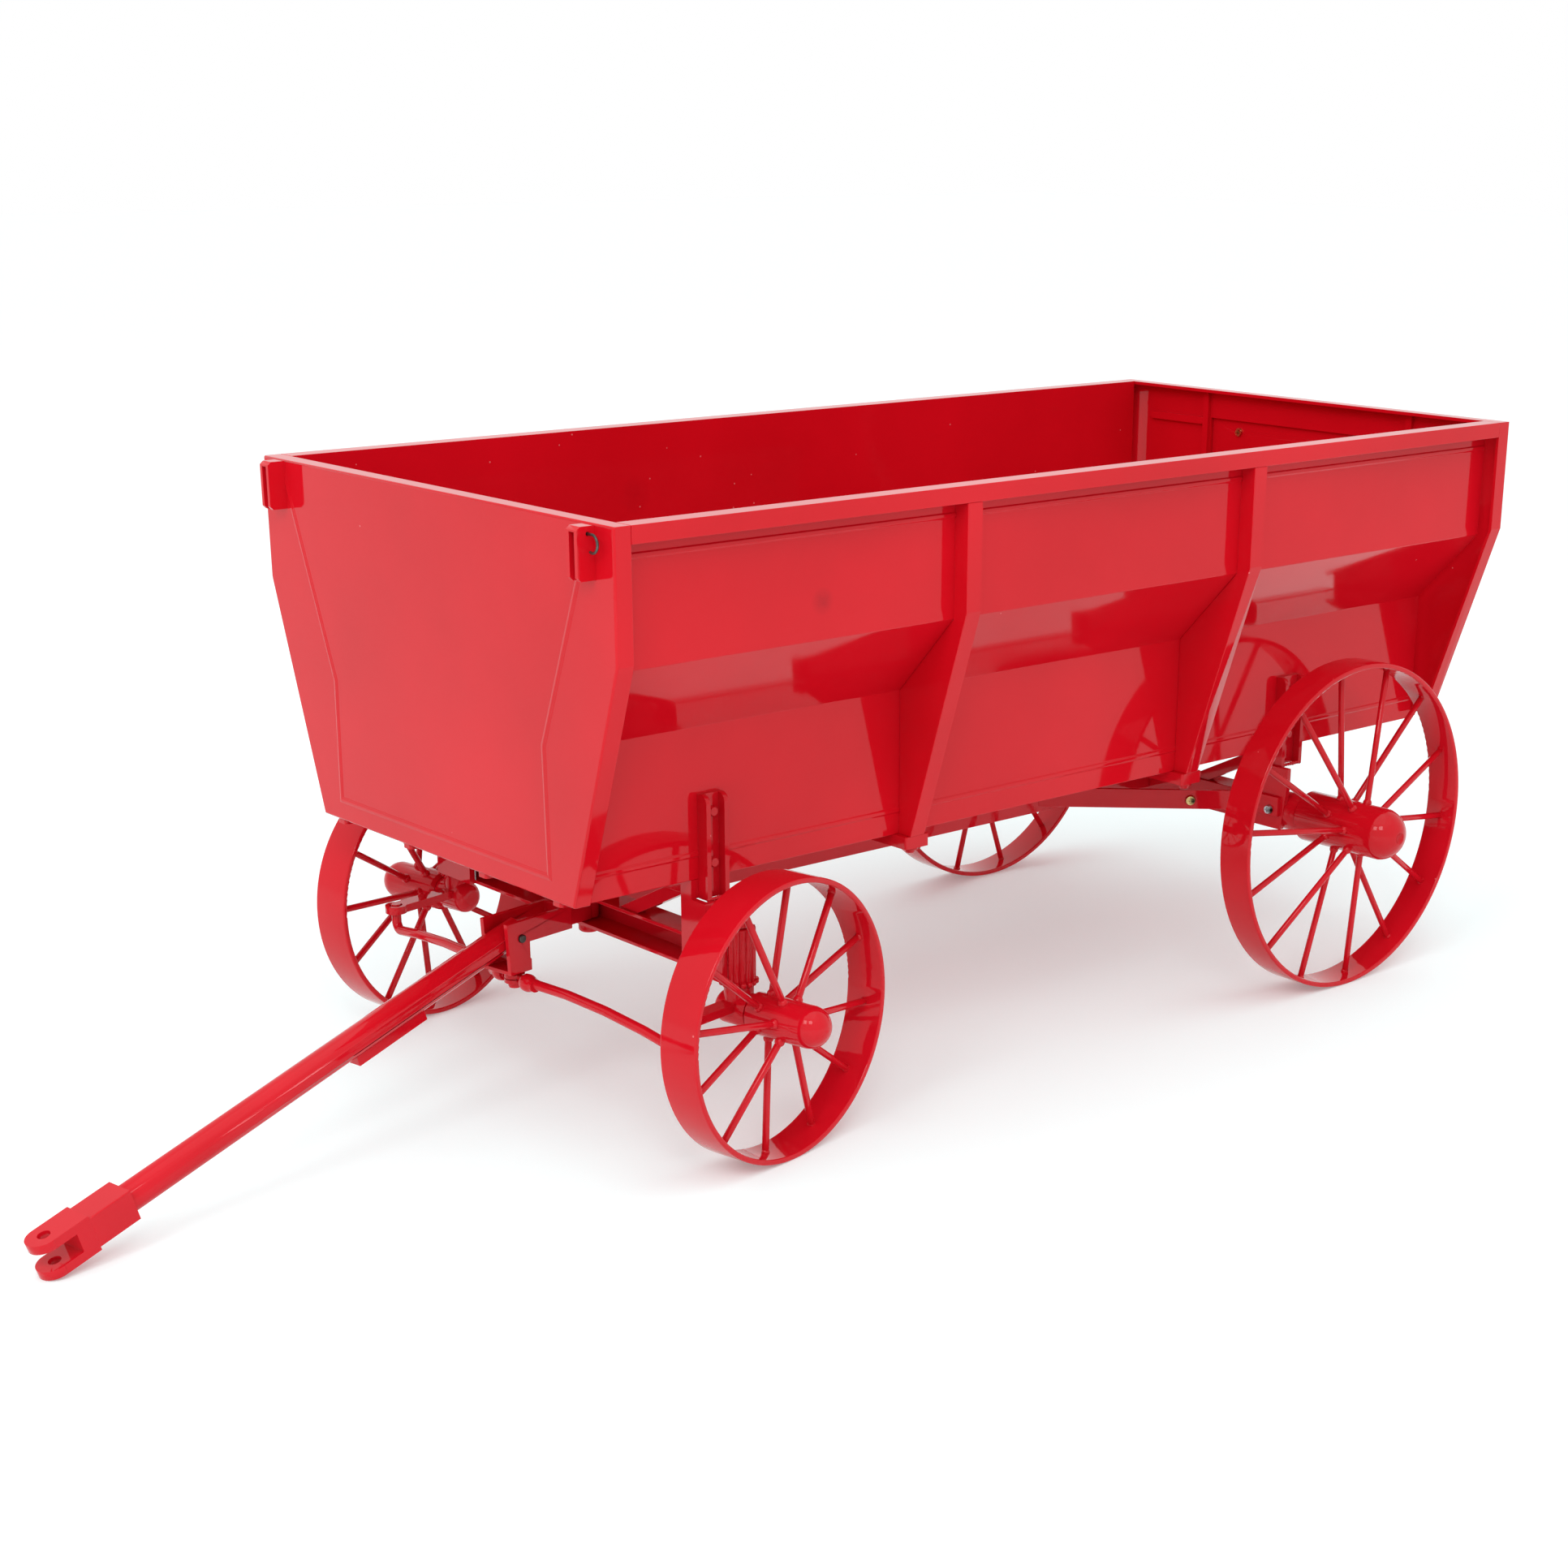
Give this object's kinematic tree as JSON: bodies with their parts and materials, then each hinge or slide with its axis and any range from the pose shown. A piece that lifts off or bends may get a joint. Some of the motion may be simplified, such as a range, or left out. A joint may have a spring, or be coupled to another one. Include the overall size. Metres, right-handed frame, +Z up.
{
  "type": "toy farm wagon",
  "caption": "Scale-model farm flare wagon: sheet-steel box with end gate on a steerable running gear with spoked steel wheels and a drawbar tongue.",
  "frame": {"origin": "on the ground, midway between the tongue tip and the gate hinge, on the centre line", "axes": "+Z up, -Y towards the tongue, +X to the wagon's left"},
  "size_m": [0.2404, 0.5616, 0.1965],
  "materials": {
    "red": "gloss",
    "steel": "satin",
    "brass": "polished",
    "dark": "satin"
  },
  "bodies": {
    "wagon": {"axle_screws": "steel", "bolster_braces": "red", "bolster_posts": "red", "bolsters": "red", "box_floor": "red", "corner_ears": "red", "cross_sills": "red", "floor_runners": "red", "front_axle_beam": "red", "front_panel": "red", "front_stakes": "red", "front_standards": "red", "gate_hinge_brackets": "red", "gate_hinge_pin": "steel", "hound_screws": "brass", "hounds": "red", "king_bolt": "red", "king_bolt_nut": "red", "reach": "red", "rear_axle_beam": "red", "rear_frame": "red", "rear_stakes": "red", "rear_standards": "red", "rear_stub_axles": "red", "ring_hook": "dark", "side_panel_left": "red", "side_panel_right": "red", "side_ribs_left": "red", "side_ribs_right": "red", "sill_bolts": "red", "stake_bolts": "red"},
    "rear_wheel_left_body": {"rear_left_rim": "red", "rear_left_spokes": "red", "rear_left_hub": "red"},
    "front_wheel_left_body": {"front_left_rim": "red", "front_left_spokes": "red", "front_left_hub": "red"},
    "knuckle_left_body": {"knuckle_left": "red", "kingpin_left": "red"},
    "tie_rod_left_body": {"tie_rod_left": "red"},
    "rear_wheel_right_body": {"rear_right_rim": "red", "rear_right_spokes": "red", "rear_right_hub": "red"},
    "front_wheel_right_body": {"front_right_rim": "red", "front_right_spokes": "red", "front_right_hub": "red"},
    "knuckle_right_body": {"knuckle_right": "red", "kingpin_right": "red"},
    "tie_rod_right_body": {"tie_rod_right": "red"},
    "tongue_head_body": {"tongue_head": "red", "hitch_pin": "dark", "tie_rod_pin": "red"},
    "tongue_body": {"tongue_tube": "red", "tongue_collar": "red", "tongue_clevis": "red", "tongue_stiffener": "red"},
    "end_gate_body": {"end_gate": "red", "gate_straps": "red", "gate_screws": "brass"}
  },
  "joints": [
    {"name": "tongue_steer", "type": "hinge", "parent": "wagon", "child": "tongue_head_body", "pos_m": [0, -0.07104, 0.0588], "axis": [0, 0, 1], "range_deg": [-31, 13]},
    {"name": "tongue_lift", "type": "hinge", "parent": "tongue_head_body", "child": "tongue_body", "pos_m": [0.00548, -0.1056, 0.0569], "axis": [-0.9877, -0.1564, 0], "range_deg": [0, 50]},
    {"name": "gate_swing", "type": "hinge", "parent": "wagon", "child": "end_gate_body", "pos_m": [0, 0.27857, 0.189], "axis": [1, 0, 0], "range_deg": [0, 75]},
    {"name": "knuckle_left_steer", "type": "hinge", "parent": "wagon", "child": "knuckle_left_body", "pos_m": [0.078, -0.07104, 0.058], "axis": [0, 0, 1], "range_deg": [-36.5, 15.5]},
    {"name": "front_wheel_left_spin", "type": "hinge", "parent": "knuckle_left_body", "child": "front_wheel_left_body", "pos_m": [0.09275, -0.0683, 0.0442], "axis": [0.9833, 0.1822, 0], "continuous": true},
    {"name": "rear_wheel_left_spin", "type": "hinge", "parent": "wagon", "child": "rear_wheel_left_body", "pos_m": [0.0945, 0.19417, 0.0593], "axis": [1, 0, 0], "continuous": true},
    {"name": "tie_rod_left_pivot", "type": "hinge", "parent": "tongue_head_body", "child": "tie_rod_left_body", "pos_m": [0.00516, -0.10363, 0.0424], "axis": [0, 0, 1], "range_deg": [-13.5, 31.5]},
    {"name": "knuckle_right_steer", "type": "hinge", "parent": "wagon", "child": "knuckle_right_body", "pos_m": [-0.078, -0.07104, 0.058], "axis": [0, 0, 1], "range_deg": [-36.5, 15.5]},
    {"name": "front_wheel_right_spin", "type": "hinge", "parent": "knuckle_right_body", "child": "front_wheel_right_body", "pos_m": [-0.09275, -0.07377, 0.0442], "axis": [0.9833, 0.1822, 0], "continuous": true},
    {"name": "rear_wheel_right_spin", "type": "hinge", "parent": "wagon", "child": "rear_wheel_right_body", "pos_m": [-0.0945, 0.19417, 0.0593], "axis": [1, 0, 0], "continuous": true},
    {"name": "tie_rod_right_pivot", "type": "hinge", "parent": "tongue_head_body", "child": "tie_rod_right_body", "pos_m": [0.00516, -0.10363, 0.0424], "axis": [0, 0, 1], "range_deg": [-13.5, 31.5]}
  ],
  "couplings": [
    {"joint": "knuckle_left_steer", "follows": "tongue_steer", "ratio": 1.1667},
    {"joint": "tie_rod_left_pivot", "follows": "tongue_steer", "ratio": -1},
    {"joint": "knuckle_right_steer", "follows": "tongue_steer", "ratio": 1.1667},
    {"joint": "tie_rod_right_pivot", "follows": "tongue_steer", "ratio": -1}
  ]
}
